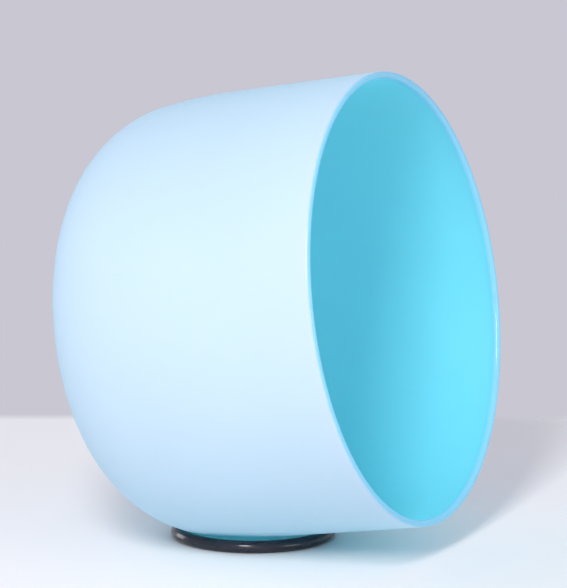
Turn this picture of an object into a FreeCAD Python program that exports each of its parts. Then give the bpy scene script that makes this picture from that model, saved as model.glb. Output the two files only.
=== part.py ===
import FreeCAD, Part
import os
from math import asin, cos, degrees, radians, sin, sqrt

import Sketcher

# A quartz singing bowl lying on its side in a rubber O-ring, its mouth towards +X and tipped up a
# little.  The model is symmetric about the XZ plane.  The origin is on the table, under the middle
# of the model's box.

DIMENSIONS = {
    # The bowl, measured along and across its own axis (millimetres).
    "rim_diameter": 250.0,      # outside, where the lip starts to round over
    "rim_height": 192.4,        # from the bottom of the bowl to that same circle
    "wall": 4.0,
    "crown_radius": 187.0,      # the shallow bottom
    "crown_width": 173.0,       # diameter of the circle where the bottom meets the shoulder
    "shoulder_radius": 62.8,
    "side_radius": 300.0,       # the slow curve between the shoulder and the straight part
    "side_straight": 83.8,      # the straight, slightly flared part below the lip
    "bowl_tilt": 10.0,          # the bowl's axis above level, in degrees
    # The O-ring that the bowl rests in.
    "ring_diameter": 84.0,      # through the middle of the rubber
    "ring_section": 7.0,
    "ring_flat": 2.0,           # width of the flat underneath, where the rubber sits on the table
    "ring_offset": 99.5,        # the ring's centre, in front of the bowl's bottom point
    "seat_gap": 0.15,           # between the bowl and the rubber
}

# Where the sketch starts from: the slope of the outside at the top of the shoulder and at the lip,
# in degrees from level.  The constraints then fix both exactly.
SHOULDER_SLOPE_GUESS = 80.7
LIP_SLOPE_GUESS = 88.8

# Each step closes nearly all of the room that is left, because the bowl meets the rubber almost
# from straight above.
SETTLING_STEPS = 8

START, END, MIDDLE = 1, 2, 3    # Sketcher's names for the points of an edge
ORIGIN, VERTICAL_AXIS, HORIZONTAL_AXIS = (-1, START), -2, -1


def make_sheet(doc):
    """The driving dimensions, one aliased cell each."""
    sheet = doc.addObject("Spreadsheet::Sheet", "Dimensions")
    for row, (alias, value) in enumerate(DIMENSIONS.items(), start=1):
        sheet.set(f"A{row}", alias)
        sheet.set(f"B{row}", str(value))
        sheet.setAlias(f"B{row}", alias)
    doc.recompute()
    return sheet


def make_body(doc, label):
    body = doc.addObject("PartDesign::Body", label)
    body.Label = label
    return body


def upright_sketch(body, name):
    """A sketch in the body's own XZ plane: radius across, height up."""
    sketch = body.newObject("Sketcher::SketchObject", name)
    plane = next(f for f in body.Origin.OriginFeatures if f.Role == "XZ_Plane")
    sketch.AttachmentSupport = [(plane, "")]
    sketch.MapMode = "FlatFace"
    return sketch


def point(radius, height):
    return FreeCAD.Vector(radius, height, 0)


def arc(centre, radius, first, last):
    """An arc drawn anticlockwise between two angles, in degrees from the sketch's X axis."""
    circle = Part.Circle(centre, FreeCAD.Vector(0, 0, 1), radius)
    return Part.ArcOfCircle(circle, radians(first), radians(last))


def on_circle(centre, radius, angle):
    return centre + point(cos(radians(angle)), sin(radians(angle))) * radius


def dimension(sketch, name, expression, *constraint):
    """Add a named constraint and bind its value to the sheet."""
    index = sketch.addConstraint(Sketcher.Constraint(*constraint))
    sketch.renameConstraint(index, name)
    sketch.setExpression(f"Constraints.{name}", expression)


def revolve(body, sketch, name):
    """Turn the sketch a full circle about its vertical axis."""
    revolution = body.newObject("PartDesign::Revolution", name)
    revolution.Profile = sketch
    revolution.ReferenceAxis = (sketch, ["V_Axis"])
    revolution.Angle = 360.0
    sketch.Visibility = False
    body.Tip = revolution


def make_bowl(doc, sheet):
    """The bowl, standing upright on its bottom at its body's origin."""
    bowl = make_body(doc, "bowl")
    sketch = upright_sketch(bowl, "bowl_profile")

    # Slopes of the outside at the ends of its arcs, and the arcs' centres.
    crown_slope = degrees(asin(sheet.crown_width / 2 / sheet.crown_radius))
    slopes = (0.0, crown_slope, SHOULDER_SLOPE_GUESS, LIP_SLOPE_GUESS)
    radii = (sheet.crown_radius, sheet.shoulder_radius, sheet.side_radius)
    centres = [point(0, sheet.crown_radius)]
    for before, after, slope in zip(radii, radii[1:], slopes[1:]):
        centres.append(on_circle(centres[-1], before - after, slope - 90))

    outside = [
        arc(centre, radius, low - 90, high - 90)
        for centre, radius, low, high in zip(centres, radii, slopes, slopes[1:])
    ]
    inside = [
        arc(centre, radius - sheet.wall, low - 90, high - 90)
        for centre, radius, low, high in zip(centres, radii, slopes, slopes[1:])
    ]
    flare = LIP_SLOPE_GUESS - 90
    up_the_side = on_circle(point(0, 0), sheet.side_straight, LIP_SLOPE_GUESS)
    side_start = on_circle(centres[-1], sheet.side_radius, flare)
    inner_start = on_circle(centres[-1], sheet.side_radius - sheet.wall, flare)
    side_end = side_start + up_the_side
    inner_end = inner_start + up_the_side

    crown, shoulder, side = (sketch.addGeometry(edge) for edge in outside)
    straight = sketch.addGeometry(Part.LineSegment(side_start, side_end))
    lip = sketch.addGeometry(arc((side_end + inner_end) / 2, sheet.wall / 2, flare, flare + 180))
    inner_straight = sketch.addGeometry(Part.LineSegment(inner_end, inner_start))
    inner_crown, inner_shoulder, inner_side = (sketch.addGeometry(edge) for edge in inside)
    middle = sketch.addGeometry(Part.LineSegment(point(0, sheet.wall), point(0, 0)))

    # Every edge runs smoothly into the next, from the bottom up the outside, over the lip and down
    # the inside.
    smooth_joints = (
        (crown, END, shoulder, START),
        (shoulder, END, side, START),
        (side, END, straight, START),
        (straight, END, lip, START),
        (lip, END, inner_straight, START),
        (inner_straight, END, inner_side, END),
        (inner_side, START, inner_shoulder, END),
        (inner_shoulder, START, inner_crown, END),
    )
    for joint in smooth_joints:
        sketch.addConstraint(Sketcher.Constraint("Tangent", *joint))
    for outer, inner in ((crown, inner_crown), (shoulder, inner_shoulder), (side, inner_side)):
        sketch.addConstraint(Sketcher.Constraint("Coincident", inner, MIDDLE, outer, MIDDLE))
    sketch.addConstraint(Sketcher.Constraint("Coincident", crown, START, *ORIGIN))
    sketch.addConstraint(Sketcher.Constraint("PointOnObject", crown, MIDDLE, VERTICAL_AXIS))
    sketch.addConstraint(Sketcher.Constraint("PointOnObject", inner_crown, START, VERTICAL_AXIS))
    sketch.addConstraint(Sketcher.Constraint("Coincident", middle, START, inner_crown, START))
    sketch.addConstraint(Sketcher.Constraint("Coincident", middle, END, *ORIGIN))

    radius = sheet.rim_diameter / 2
    dimension(sketch, "crown_radius", "Dimensions.crown_radius", "Radius", crown, radii[0])
    dimension(sketch, "shoulder_radius", "Dimensions.shoulder_radius", "Radius", shoulder, radii[1])
    dimension(sketch, "side_radius", "Dimensions.side_radius", "Radius", side, radii[2])
    dimension(sketch, "lip_radius", "Dimensions.wall / 2", "Radius", lip, sheet.wall / 2)
    dimension(sketch, "crown_width", "Dimensions.crown_width / 2",
              "DistanceX", *ORIGIN, crown, END, sheet.crown_width / 2)
    dimension(sketch, "side_straight", "Dimensions.side_straight",
              "Distance", straight, sheet.side_straight)
    dimension(sketch, "rim_radius", "Dimensions.rim_diameter / 2",
              "DistanceX", *ORIGIN, straight, END, radius)
    dimension(sketch, "rim_height", "Dimensions.rim_height",
              "DistanceY", *ORIGIN, straight, END, sheet.rim_height)

    revolve(bowl, sketch, "bowl_turned")
    doc.recompute()
    return bowl, {"crown": sketch.Geometry[crown], "lip": sketch.Geometry[lip]}


def make_ring(doc, sheet):
    """The O-ring, lying flat on z = 0 round its body's origin."""
    ring = make_body(doc, "o_ring")
    sketch = upright_sketch(ring, "ring_profile")

    across = sheet.ring_diameter / 2
    half_flat = sheet.ring_flat / 2
    radius = sheet.ring_section / 2
    height = sqrt(radius ** 2 - half_flat ** 2)
    flat_turn = degrees(asin(half_flat / radius))

    rubber = sketch.addGeometry(arc(point(across, height), radius, flat_turn - 90, 270 - flat_turn))
    flat = sketch.addGeometry(Part.LineSegment(point(across - half_flat, 0),
                                               point(across + half_flat, 0)))
    sketch.addConstraint(Sketcher.Constraint("Coincident", rubber, END, flat, START))
    sketch.addConstraint(Sketcher.Constraint("Coincident", flat, END, rubber, START))
    sketch.addConstraint(Sketcher.Constraint("PointOnObject", flat, START, HORIZONTAL_AXIS))
    sketch.addConstraint(Sketcher.Constraint("Horizontal", flat))
    dimension(sketch, "section_radius", "Dimensions.ring_section / 2", "Radius", rubber, radius)
    dimension(sketch, "flat_width", "Dimensions.ring_flat", "Distance", flat, sheet.ring_flat)
    dimension(sketch, "ring_radius", "Dimensions.ring_diameter / 2",
              "DistanceX", *ORIGIN, rubber, MIDDLE, across)

    revolve(ring, sketch, "ring_turned")
    doc.recompute()
    return ring


def place(sheet, bowl, profile, ring):
    """Lay the bowl on its side over the ring, with the origin under the middle of the bowl."""
    tilt = radians(sheet.bowl_tilt)
    lip = profile["lip"]
    back = -profile["crown"].Radius * (1 - cos(tilt))
    front = lip.Center.y * cos(tilt) + lip.Center.x * sin(tilt) + lip.Radius
    bottom_x = -(back + front) / 2
    well_above = sheet.rim_diameter / 2 + sheet.ring_section

    lay_down = FreeCAD.Rotation(FreeCAD.Vector(0, 1, 0), 90 - sheet.bowl_tilt)
    bowl.Placement = FreeCAD.Placement(FreeCAD.Vector(bottom_x, 0, well_above), lay_down)
    ring.Placement = FreeCAD.Placement(FreeCAD.Vector(bottom_x + sheet.ring_offset, 0, 0),
                                       FreeCAD.Rotation())


def settle(bowl, ring, gap):
    """Lower the bowl straight down until only the gap is left between it and the ring."""
    for _ in range(SETTLING_STEPS):
        room = bowl.Shape.distToShape(ring.Shape)[0]
        placement = bowl.Placement
        placement.Base.z -= room - gap
        bowl.Placement = placement


def check(doc, parts):
    """Stop if anything in the document failed, or if two parts overlap."""
    for item in doc.Objects:
        if "Invalid" in item.State or "Error" in item.State:
            raise RuntimeError(f"{item.Name} did not build: {item.State}")
    for part in parts:
        if part.Shape.isNull() or not part.Shape.isValid() or len(part.Shape.Solids) != 1:
            raise RuntimeError(f"{part.Label} is not one valid solid")
    bowl, ring = parts
    if bowl.Shape.common(ring.Shape).Volume > 0:
        raise RuntimeError("the bowl cuts into the ring")


def report(parts):
    """Print each part's size and centre, and the room between them."""
    for part in parts:
        box = part.Shape.optimalBoundingBox()
        centre = part.Shape.CenterOfMass
        print(f"{part.Label}: x {box.XMin:.2f}..{box.XMax:.2f}  y {box.YMin:.2f}..{box.YMax:.2f}  "
              f"z {box.ZMin:.2f}..{box.ZMax:.2f}  volume {part.Shape.Volume / 1000:.1f} cm3  "
              f"centre of mass {centre.x:.1f}, {centre.y:.1f}, {centre.z:.1f}")
    gap = parts[0].Shape.distToShape(parts[1].Shape)[0]
    print(f"gap between the bowl and the ring {gap:.3f} mm")


def main():
    doc = FreeCAD.newDocument("SingingBowl")
    sheet = make_sheet(doc)
    bowl, profile = make_bowl(doc, sheet)
    ring = make_ring(doc, sheet)
    place(sheet, bowl, profile, ring)
    settle(bowl, ring, sheet.seat_gap)
    doc.recompute()

    parts = (bowl, ring)
    check(doc, parts)
    report(parts)
    os.makedirs("parts", exist_ok=True)
    for part in parts:
        part.Shape.exportStep(f"parts/{part.Label}.step")


main()
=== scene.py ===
"""The looks of a quartz singing bowl that lies on its side in a rubber O-ring.

Lengths are in metres, in the frame of the CAD model: +Z up, +X towards the bowl's mouth.
"""

import math

import bmesh
import bpy
from mathutils import Matrix, Vector, noise


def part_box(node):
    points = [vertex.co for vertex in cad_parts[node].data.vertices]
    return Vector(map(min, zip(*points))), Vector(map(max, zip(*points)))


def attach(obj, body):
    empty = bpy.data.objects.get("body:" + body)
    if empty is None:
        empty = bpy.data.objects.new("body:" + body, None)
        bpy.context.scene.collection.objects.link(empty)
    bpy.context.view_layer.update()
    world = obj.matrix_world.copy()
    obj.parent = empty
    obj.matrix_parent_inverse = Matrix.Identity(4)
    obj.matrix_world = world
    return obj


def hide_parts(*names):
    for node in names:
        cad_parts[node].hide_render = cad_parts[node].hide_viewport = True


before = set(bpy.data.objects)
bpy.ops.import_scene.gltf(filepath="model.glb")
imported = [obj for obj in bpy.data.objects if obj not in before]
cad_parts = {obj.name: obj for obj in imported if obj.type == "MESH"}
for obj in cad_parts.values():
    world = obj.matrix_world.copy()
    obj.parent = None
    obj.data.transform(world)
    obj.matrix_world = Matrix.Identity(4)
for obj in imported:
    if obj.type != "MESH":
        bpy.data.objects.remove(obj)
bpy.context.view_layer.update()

# ---------------------------------------------------------------------------------------------
# The bowl's outline, in its own frame: distance from its axis, and height above its bottom.
# Each arc runs on smoothly from the one before, to the slope in degrees at its far end.
WALL = 0.004
CROWN = (0.187, 27.55)
SHOULDER = (0.0628, 80.78)
SIDE = (0.300, 88.80)
SIDE_STRAIGHT = 0.0838
BOWL_TILT = math.radians(10.0)      # its axis above level
OUTLINE_STEP = 0.0022
LIP_STEPS = 16
BOWL_TURNS = 320
INSET = 0.00004                     # keeps every face just inside the CAD outline
PAST_LIP = "past_lip"               # the attribute that holds the length past the lip's crest

# How the spun walls wander, outside and inside: a slow wave and a smaller, quicker one.
RIPPLE = 0.00016                    # the depth that the two waves are a share of
RIPPLE_WIDTH = 0.045
RIPPLE_MEAN = 0.5
SLOW_WAVE = 0.5
QUICK_WAVE = 0.3
QUICKER = 3.1                       # how many times closer together the quick waves are
CALM_NEAR_LIP = 8 * WALL            # the waves grow from nothing at the crest over this length

# The O-ring.
RING_DIAMETER = 0.084               # through the middle of the rubber
RING_SECTION = 0.007
RING_FLAT = 0.002
RING_TURNS = 240
RING_STEPS = 72
SEAM_HEIGHT = 0.00012               # the mould's seam round the ring's equator
SEAM_WIDTH = 0.00035


# ---------------------------------------------------------------------------------------------
# Meshes

def arc_points(start, slope, radius, end_slope, steps):
    """Points along an arc that leaves start at one slope and ends at another (radians)."""
    across, up = start
    centre = (across - radius * math.sin(slope), up + radius * math.cos(slope))
    points = []
    for step in range(1, steps + 1):
        angle = slope + (end_slope - slope) * step / steps
        points.append((centre[0] + radius * math.sin(angle), centre[1] - radius * math.cos(angle)))
    return points


def wall_outline(depth):
    """One face of the wall from the bottom to the lip, at a depth below the outer face."""
    points = [(0.0, depth)]
    slope = 0.0
    for radius, end_degrees in (CROWN, SHOULDER, SIDE):
        end_slope = math.radians(end_degrees)
        steps = round(radius * (end_slope - slope) / OUTLINE_STEP)
        points += arc_points(points[-1], slope, radius - depth, end_slope, steps)
        slope = end_slope
    across, up = points[-1]
    steps = round(SIDE_STRAIGHT / OUTLINE_STEP)
    for step in range(1, steps + 1):
        run = SIDE_STRAIGHT * step / steps
        points.append((across + run * math.cos(slope), up + run * math.sin(slope)))
    return points


def bowl_outline():
    """The closed outline, up the outside, over the lip and down the inside.

    Returns the points and how far each is past the lip's crest, along the outline: the outside
    is below 0 and the inside above it.
    """
    outside = wall_outline(0.0)
    inside = wall_outline(WALL)
    slope = math.radians(SIDE[1])
    lip = arc_points(outside[-1], slope, WALL / 2, slope + math.pi, LIP_STEPS)[:-1]
    points = outside + lip + inside[::-1]
    past = [0.0]
    for start, end in zip(points, points[1:]):
        past.append(past[-1] + math.dist(start, end))
    crest = past[len(outside) - 1 + LIP_STEPS // 2]
    return points, [length - crest for length in past]


def lathe(name, outline, turns, values=None):
    """Turn an outline about the Z axis, and link the piece.

    An outline that starts and ends on the axis gets poles there. Any other is closed on itself.
    Values holds a length past the lip's crest for each point, and becomes a vertex attribute.
    """
    bm = bmesh.new()
    layer = bm.verts.layers.float.new(PAST_LIP) if values else None
    poles = outline[0][0] < 1e-9
    rows = []
    for index, (across, up) in enumerate(outline):
        count = 1 if across < 1e-9 else turns
        row = []
        for turn in range(count):
            angle = 2 * math.pi * turn / turns
            vert = bm.verts.new((across * math.cos(angle), across * math.sin(angle), up))
            if layer:
                vert[layer] = values[index]
            row.append(vert)
        rows.append(row)
    pairs = list(zip(rows, rows[1:]))
    if not poles:
        pairs.append((rows[-1], rows[0]))
    for low, high in pairs:
        for turn in range(turns):
            after = (turn + 1) % turns
            corners = [low[turn % len(low)], low[after % len(low)],
                       high[after % len(high)], high[turn % len(high)]]
            unique = list(dict.fromkeys(corners))
            if len(unique) > 2:
                bm.faces.new(unique)
    bmesh.ops.recalc_face_normals(bm, faces=bm.faces)
    mesh = bpy.data.meshes.new(name)
    bm.to_mesh(mesh)
    bm.free()
    for polygon in mesh.polygons:
        polygon.use_smooth = True
    piece = bpy.data.objects.new(name, mesh)
    bpy.context.scene.collection.objects.link(piece)
    return piece


def lay_bowl(piece):
    """Lay the bowl where the CAD bowl lies, from that node's box."""
    low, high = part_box("bowl")
    mesh = piece.data
    mesh.transform(Matrix.Rotation(math.pi / 2 - BOWL_TILT, 4, "Y"))
    lowest = min(vert.co.z for vert in mesh.vertices)
    rearmost = min(vert.co.x for vert in mesh.vertices)
    mesh.transform(Matrix.Translation((low.x - rearmost, 0.0, low.z - lowest)))


def ripple(piece):
    """Let both faces of the wall wander a little inwards, as spun quartz does, but not the lip."""
    mesh = piece.data
    past = [item.value for item in mesh.attributes[PAST_LIP].data]
    normals = [vert.normal.copy() for vert in mesh.vertices]
    for vert, normal, length in zip(mesh.vertices, normals, past):
        wander = RIPPLE_MEAN + SLOW_WAVE * noise.noise(vert.co / RIPPLE_WIDTH)
        wander += QUICK_WAVE * noise.noise(vert.co * QUICKER / RIPPLE_WIDTH)
        from_lip = min(1.0, abs(length) / CALM_NEAR_LIP)
        vert.co -= normal * (INSET + RIPPLE * max(0.0, wander) * from_lip)


def make_bowl(material):
    outline, past = bowl_outline()
    piece = lathe("quartz_bowl", outline, BOWL_TURNS, past)
    lay_bowl(piece)
    ripple(piece)
    piece.data.materials.append(material)
    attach(piece, "bowl")
    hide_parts("bowl")


def ring_outline():
    """The rubber's section, flattened underneath, with the thin seam of its mould outside."""
    radius = RING_SECTION / 2
    half_flat = RING_FLAT / 2
    height = math.sqrt(radius ** 2 - half_flat ** 2)
    flat_turn = math.asin(half_flat / radius)
    points = []
    for step in range(RING_STEPS + 1):
        angle = -math.pi / 2 + flat_turn + (2 * math.pi - 2 * flat_turn) * step / RING_STEPS
        outside = math.cos(angle) > 0
        seam = math.exp(-(radius * math.sin(angle) / SEAM_WIDTH) ** 2) if outside else 0.0
        reach = radius + SEAM_HEIGHT * seam
        points.append((RING_DIAMETER / 2 + reach * math.cos(angle),
                       height + reach * math.sin(angle)))
    return points


def make_ring(material):
    low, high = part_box("o_ring")
    centre = (low + high) / 2
    piece = lathe("rubber_ring", ring_outline(), RING_TURNS)
    piece.data.transform(Matrix.Translation((centre.x, centre.y, low.z)))
    piece.data.materials.append(material)
    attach(piece, "ring")
    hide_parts("o_ring")


# ---------------------------------------------------------------------------------------------
# Materials

class Shader:
    """A small helper for writing a node material as a list of steps."""

    def __init__(self, name):
        self.material = bpy.data.materials.new(name)
        self.material.use_nodes = True
        self.tree = self.material.node_tree
        self.tree.nodes.clear()
        self.output = self.tree.nodes.new("ShaderNodeOutputMaterial")
        self.place = self.tree.nodes.new("ShaderNodeTexCoord").outputs["Object"]

    def node(self, kind, **inputs):
        """Add a node. A socket given as an input is linked, anything else is set."""
        made = self.tree.nodes.new(kind)
        for key, value in inputs.items():
            socket = made.inputs[key.replace("_", " ")]
            if isinstance(value, bpy.types.NodeSocket):
                self.tree.links.new(value, socket)
            else:
                socket.default_value = value
        return made

    def noise(self, scale, detail, roughness, distortion=0.0):
        """Noise between 0 and 1, mostly near its middle. Scale is in waves for each metre."""
        return self.node("ShaderNodeTexNoise", Vector=self.place, Scale=scale, Detail=detail,
                         Roughness=roughness, Distortion=distortion).outputs["Fac"]

    def remap(self, value, low, high, to_low, to_high):
        """Carry one range of numbers to another, and hold it at the ends."""
        made = self.node("ShaderNodeMapRange", Value=value)
        made.inputs["From Min"].default_value = low
        made.inputs["From Max"].default_value = high
        made.inputs["To Min"].default_value = to_low
        made.inputs["To Max"].default_value = to_high
        return made.outputs["Result"]

    def maths(self, operation, first, second):
        made = self.tree.nodes.new("ShaderNodeMath")
        made.operation = operation
        for socket, value in zip(made.inputs, (first, second)):
            if isinstance(value, bpy.types.NodeSocket):
                self.tree.links.new(value, socket)
            else:
                socket.default_value = value
        return made.outputs["Value"]

    def mix(self, factor, first, second, mode="MIX"):
        """Go from one colour to another, or combine them in another mode."""
        made = self.tree.nodes.new("ShaderNodeMix")
        made.data_type = "RGBA"
        made.blend_type = mode
        sockets = [s for s in made.inputs if s.type == "RGBA"]
        for socket, value in ((made.inputs["Factor"], factor), (sockets[0], first),
                              (sockets[1], second)):
            if isinstance(value, bpy.types.NodeSocket):
                self.tree.links.new(value, socket)
            elif socket.type == "RGBA":
                socket.default_value = (*value, 1.0)
            else:
                socket.default_value = value
        return next(s for s in made.outputs if s.type == "RGBA")

    def blend(self, factor, first, second):
        """Go from one number to another."""
        made = self.tree.nodes.new("ShaderNodeMix")
        sockets = [s for s in made.inputs if s.type == "VALUE"]
        for socket, value in zip(sockets, (factor, first, second)):
            if isinstance(value, bpy.types.NodeSocket):
                self.tree.links.new(value, socket)
            else:
                socket.default_value = value
        return next(s for s in made.outputs if s.type == "VALUE")

    def grey(self, value):
        """Make a grey colour of a number."""
        return self.node("ShaderNodeCombineColor", Red=value, Green=value,
                         Blue=value).outputs["Color"]

    def mix_shaders(self, factor, first, second):
        made = self.tree.nodes.new("ShaderNodeMixShader")
        self.tree.links.new(factor, made.inputs[0])
        self.tree.links.new(first.outputs["BSDF"], made.inputs[1])
        self.tree.links.new(second.outputs["BSDF"], made.inputs[2])
        return made.outputs["Shader"]

    def bump(self, height, distance, strength, normal=None):
        made = self.node("ShaderNodeBump", Height=height, Distance=distance, Strength=strength)
        if normal:
            self.tree.links.new(normal, made.inputs["Normal"])
        return made.outputs["Normal"]

    def finish(self, surface):
        self.tree.links.new(surface, self.output.inputs["Surface"])
        return self.material


# The colours of the quartz and its coat. Through is what they give to light from behind.
PALE_BLUE = (0.885, 0.885, 0.97)
PALE_THROUGH = (0.95, 0.91, 0.98)
CYAN = (0.355, 0.81, 0.99)
CYAN_THROUGH = (0.235, 0.98, 0.99)
LIP_CYAN = (0.35, 0.77, 0.96)           # the coat's thin edge on the lip
PALE_SHARE = 0.48                       # how much of what is seen is light from behind
CYAN_SHARE = 0.65
QUARTZ_IOR = 1.46
QUARTZ_SPECULAR = 0.8

# How dark each kind of patch gets, as a share of the full colour.
PALE_CLOUD = 0.975
COAT_CLOUD = 0.94
GATHERED_COAT = 0.88
SPECK = 0.965

# Where the coat ends, as lengths past the lip's crest. The outside is below 0.
COAT_EDGE = 0.0040                      # the coat's thick edge, from which it runs on inwards
EDGE_BLUR = 0.0001
EDGE_WANDER = 0.00012
GATHERED_WIDTH = 0.0030                 # the coat is darker over this length from its thick edge
LIP_START = -0.0023                     # how far over the crest the coat's thin edge wraps
WRAP_BEFORE = 0.0004                    # that edge fades out this far before the start
WRAP_AFTER = 0.0008                     # and is at its full share this far after it
LIP_SHARE = 0.95                        # how much of that edge's colour the lip takes
POLISH_NEAR = 0.0026                    # the lip is polished up to here, either side of the crest
POLISH_FAR = 0.0036                     # and frosted from here

# The stretch of a noise's values that makes its whole effect.
NOISE_SPAN = (0.3, 0.7)
SPECK_SPAN = (0.25, 0.75)
BLOOM_SPAN = (0.35, 0.7)

# The scales of the finish, in waves for each metre, and its roughness and relief.
GRAIN_SCALE = 1500.0
PEEL_SCALE = 260.0
CLOUD_SCALE = 11.0
EDGE_SCALE = 160.0
FROST_ROUGHNESS = 0.70
FROST_SPREAD = 0.05
COAT_ROUGHNESS = 0.44
COAT_SPREAD = 0.03
LIP_ROUGHNESS = 0.10
GRAIN_DEPTH = 0.00005
GRAIN_STRENGTH = 0.5
PEEL_DEPTH = 0.00006
PEEL_STRENGTH = 0.4
LIP_RELIEF = 0.15                       # how much of the relief the polish leaves


def shaded(share, colour):
    """A share of a colour, part by part."""
    return tuple(share * part for part in colour)


def frosted_quartz():
    """Frosted pale quartz with a polished lip, and a cyan satin coat inside."""
    shade = Shader("frosted_quartz")
    attribute = shade.node("ShaderNodeAttribute")
    attribute.attribute_name = PAST_LIP
    past = attribute.outputs["Fac"]

    grain = shade.noise(GRAIN_SCALE, detail=3.0, roughness=0.6)
    peel = shade.noise(PEEL_SCALE, detail=2.0, roughness=0.5)
    cloud = shade.noise(CLOUD_SCALE, detail=5.0, roughness=0.55, distortion=0.6)
    wander = shade.noise(EDGE_SCALE, detail=2.0, roughness=0.5)
    wander = shade.remap(wander, *NOISE_SPAN, -EDGE_WANDER, EDGE_WANDER)

    # Masks from 0 to 1, by the length past the lip's crest.
    edge = shade.maths("ADD", past, wander)
    coat = shade.remap(edge, COAT_EDGE - EDGE_BLUR, COAT_EDGE + EDGE_BLUR, 0.0, 1.0)
    gathered = shade.remap(edge, COAT_EDGE, COAT_EDGE + GATHERED_WIDTH, 1.0, 0.0)
    from_crest = shade.maths("ABSOLUTE", past, 0.0)
    lip = shade.remap(from_crest, POLISH_NEAR, POLISH_FAR, 1.0, 0.0)
    wrapped = shade.remap(edge, LIP_START - WRAP_BEFORE, LIP_START + WRAP_AFTER, 0.0, LIP_SHARE)

    uneven = shade.remap(cloud, *NOISE_SPAN, 0.0, 1.0)
    pale = shade.mix(uneven, shaded(PALE_CLOUD, PALE_BLUE), PALE_BLUE)
    cyan = shade.mix(uneven, shaded(COAT_CLOUD, CYAN), CYAN)
    cyan = shade.mix(gathered, cyan, shaded(GATHERED_COAT, CYAN))
    colour = shade.mix(coat, shade.mix(wrapped, pale, LIP_CYAN), cyan)
    speck = shade.remap(grain, *SPECK_SPAN, SPECK, 1.0)
    colour = shade.mix(1.0, colour, shade.grey(speck), "MULTIPLY")
    through = shade.mix(coat, shade.mix(wrapped, PALE_THROUGH, LIP_CYAN), CYAN_THROUGH)
    share = shade.remap(coat, 0.0, 1.0, PALE_SHARE, CYAN_SHARE)

    frost = shade.remap(grain, *NOISE_SPAN, FROST_ROUGHNESS - FROST_SPREAD,
                        FROST_ROUGHNESS + FROST_SPREAD)
    satin = shade.remap(peel, *NOISE_SPAN, COAT_ROUGHNESS - COAT_SPREAD,
                        COAT_ROUGHNESS + COAT_SPREAD)
    rough = shade.blend(coat, frost, satin)
    rough = shade.blend(lip, rough, LIP_ROUGHNESS)
    relief = shade.blend(lip, 1.0, LIP_RELIEF)
    normal = shade.bump(grain, GRAIN_DEPTH, shade.maths("MULTIPLY", relief, GRAIN_STRENGTH))
    normal = shade.bump(peel, PEEL_DEPTH, shade.maths("MULTIPLY", relief, PEEL_STRENGTH), normal)

    front = shade.node("ShaderNodeBsdfPrincipled", Base_Color=colour, Roughness=rough,
                       Normal=normal)
    front.inputs["IOR"].default_value = QUARTZ_IOR
    front.inputs["Specular IOR Level"].default_value = QUARTZ_SPECULAR
    behind = shade.node("ShaderNodeBsdfTranslucent", Color=through)
    return shade.finish(shade.mix_shaders(share, front, behind))


RUBBER_BLACK = (0.010, 0.012, 0.021)
RUBBER_BLOOM = (0.018, 0.020, 0.032)    # where the rubber has a faint bloom
RUBBER_ROUGHNESS = (0.12, 0.19)
RUBBER_IOR = 1.5
RUBBER_GRAIN_SCALE = 2600.0
RUBBER_GRAIN_DEPTH = 0.00003
RUBBER_GRAIN_STRENGTH = 0.5
BLOOM_SCALE = 70.0


def black_rubber():
    """Smooth glossy black rubber with a faint, patchy bloom."""
    shade = Shader("black_rubber")
    grain = shade.noise(RUBBER_GRAIN_SCALE, detail=3.0, roughness=0.6)
    bloom = shade.noise(BLOOM_SCALE, detail=4.0, roughness=0.55)
    bloomed = shade.remap(bloom, *BLOOM_SPAN, 0.0, 1.0)
    colour = shade.mix(bloomed, RUBBER_BLACK, RUBBER_BLOOM)
    rough = shade.remap(bloom, *NOISE_SPAN, *RUBBER_ROUGHNESS)
    relief = shade.bump(grain, RUBBER_GRAIN_DEPTH, RUBBER_GRAIN_STRENGTH)
    surface = shade.node("ShaderNodeBsdfPrincipled", Base_Color=colour, Roughness=rough,
                         Normal=relief)
    surface.inputs["IOR"].default_value = RUBBER_IOR
    return shade.finish(surface.outputs["BSDF"])


# ---------------------------------------------------------------------------------------------
# Camera, stage and lights

CAMERA_AZIMUTH = math.radians(23.8)
CAMERA_ELEVATION = math.radians(11.5)
CAMERA_DISTANCE = 5.0
CAMERA_LENS = 560.8
CAMERA_TARGET = Vector((0.0244, -0.0266, 0.1438))
CAMERA_REACH = 50.0     # nothing further off is drawn


def direction(azimuth, elevation):
    """A unit vector from the object to a place. Azimuth 0 is at -Y and 90 degrees at +X."""
    return Vector((math.sin(azimuth) * math.cos(elevation),
                   -math.cos(azimuth) * math.cos(elevation), math.sin(elevation)))


def make_camera():
    """Look at the target from the camera's place, upright."""
    data = bpy.data.cameras.new("camera")
    data.lens = CAMERA_LENS
    data.clip_end = CAMERA_REACH
    camera = bpy.data.objects.new("camera", data)
    back = direction(CAMERA_AZIMUTH, CAMERA_ELEVATION)
    camera.location = CAMERA_TARGET + back * CAMERA_DISTANCE
    camera.rotation_mode = "QUATERNION"
    camera.rotation_quaternion = (-back).to_track_quat("-Z", "Y")
    bpy.context.scene.collection.objects.link(camera)
    bpy.context.scene.camera = camera


TABLE_SIZE = 8.0
TABLE_COLOUR = (0.88, 0.88, 0.875)
TABLE_CLOUD = 0.99      # its faint mottle's darkest patches, as a share of its colour
MOTTLE_SCALE = 2.0
TABLE_ROUGHNESS = 0.6
TABLE_EDGE = 0.345      # the table's far edge, behind the camera's target
EDGE_FADE = 0.016       # the length over which that edge fades out


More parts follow.
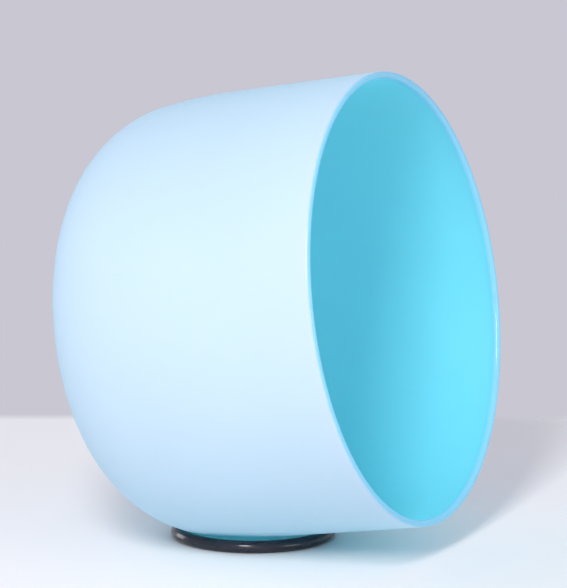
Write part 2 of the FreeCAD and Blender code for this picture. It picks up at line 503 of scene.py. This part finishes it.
def make_table():
    """A wide pale table, level with z = 0, whose far edge lies across the camera's view."""
    shade = Shader("table_top")
    mottle = shade.noise(MOTTLE_SCALE, detail=3.0, roughness=0.5)
    mottle = shade.remap(mottle, *NOISE_SPAN, 0.0, 1.0)
    colour = shade.mix(mottle, TABLE_COLOUR, shaded(TABLE_CLOUD, TABLE_COLOUR))
    top = shade.node("ShaderNodeBsdfPrincipled", Base_Color=colour, Roughness=TABLE_ROUGHNESS)
    split = shade.node("ShaderNodeSeparateXYZ", Vector=shade.place)
    fade = shade.remap(split.outputs["Y"], TABLE_EDGE - EDGE_FADE / 2, TABLE_EDGE + EDGE_FADE / 2,
                       0.0, 1.0)
    clear = shade.node("ShaderNodeBsdfTransparent")
    material = shade.finish(shade.mix_shaders(fade, top, clear))

    bm = bmesh.new()
    half = TABLE_SIZE / 2
    corners = [(-half, -TABLE_SIZE), (half, -TABLE_SIZE), (half, TABLE_EDGE + EDGE_FADE),
               (-half, TABLE_EDGE + EDGE_FADE)]
    bm.faces.new([bm.verts.new((x, y, 0.0)) for x, y in corners])
    mesh = bpy.data.meshes.new("table")
    bm.to_mesh(mesh)
    bm.free()
    mesh.materials.append(material)
    table = bpy.data.objects.new("table", mesh)
    table.location = (CAMERA_TARGET.x, CAMERA_TARGET.y, 0.0)
    table.rotation_euler = (0.0, 0.0, CAMERA_AZIMUTH)
    bpy.context.scene.collection.objects.link(table)


BACKDROP = (0.584, 0.571, 0.644)


def make_world():
    """A plain, even backdrop, which also lights the shadows."""
    world = bpy.data.worlds.new("studio")
    world.use_nodes = True
    background = world.node_tree.nodes["Background"]
    background.inputs["Color"].default_value = (*BACKDROP, 1.0)
    background.inputs["Strength"].default_value = 1.0
    bpy.context.scene.world = world


LAMP_DISTANCE = 2.2

# Each lamp's azimuth, counted from the camera's, and its elevation, both in degrees, then its
# width and height, and its power in watts.
LAMPS = {
    "key": (-13.0, 34.7, 0.45, 0.9, 35.0),
    "front": (-6.0, 9.5, 1.2, 0.4, 1.3),
    "fill": (56.0, 11.0, 0.8, 0.8, 5.3),
    "side": (-124.0, 7.0, 0.8, 0.8, 5.7),
}


def softbox(name, azimuth, elevation, width, height, power):
    """A rectangular lamp that faces the bowl."""
    data = bpy.data.lights.new(name, "AREA")
    data.shape = "RECTANGLE"
    data.size = width
    data.size_y = height
    data.energy = power
    lamp = bpy.data.objects.new(name, data)
    away = direction(CAMERA_AZIMUTH + math.radians(azimuth), math.radians(elevation))
    lamp.location = CAMERA_TARGET + away * LAMP_DISTANCE
    lamp.rotation_mode = "QUATERNION"
    lamp.rotation_quaternion = away.to_track_quat("Z", "Y")
    bpy.context.scene.collection.objects.link(lamp)


bpy.context.scene.view_settings.view_transform = "Standard"
make_bowl(frosted_quartz())
make_ring(black_rubber())
make_camera()
make_table()
make_world()
for lamp_name, settings in LAMPS.items():
    softbox(lamp_name, *settings)
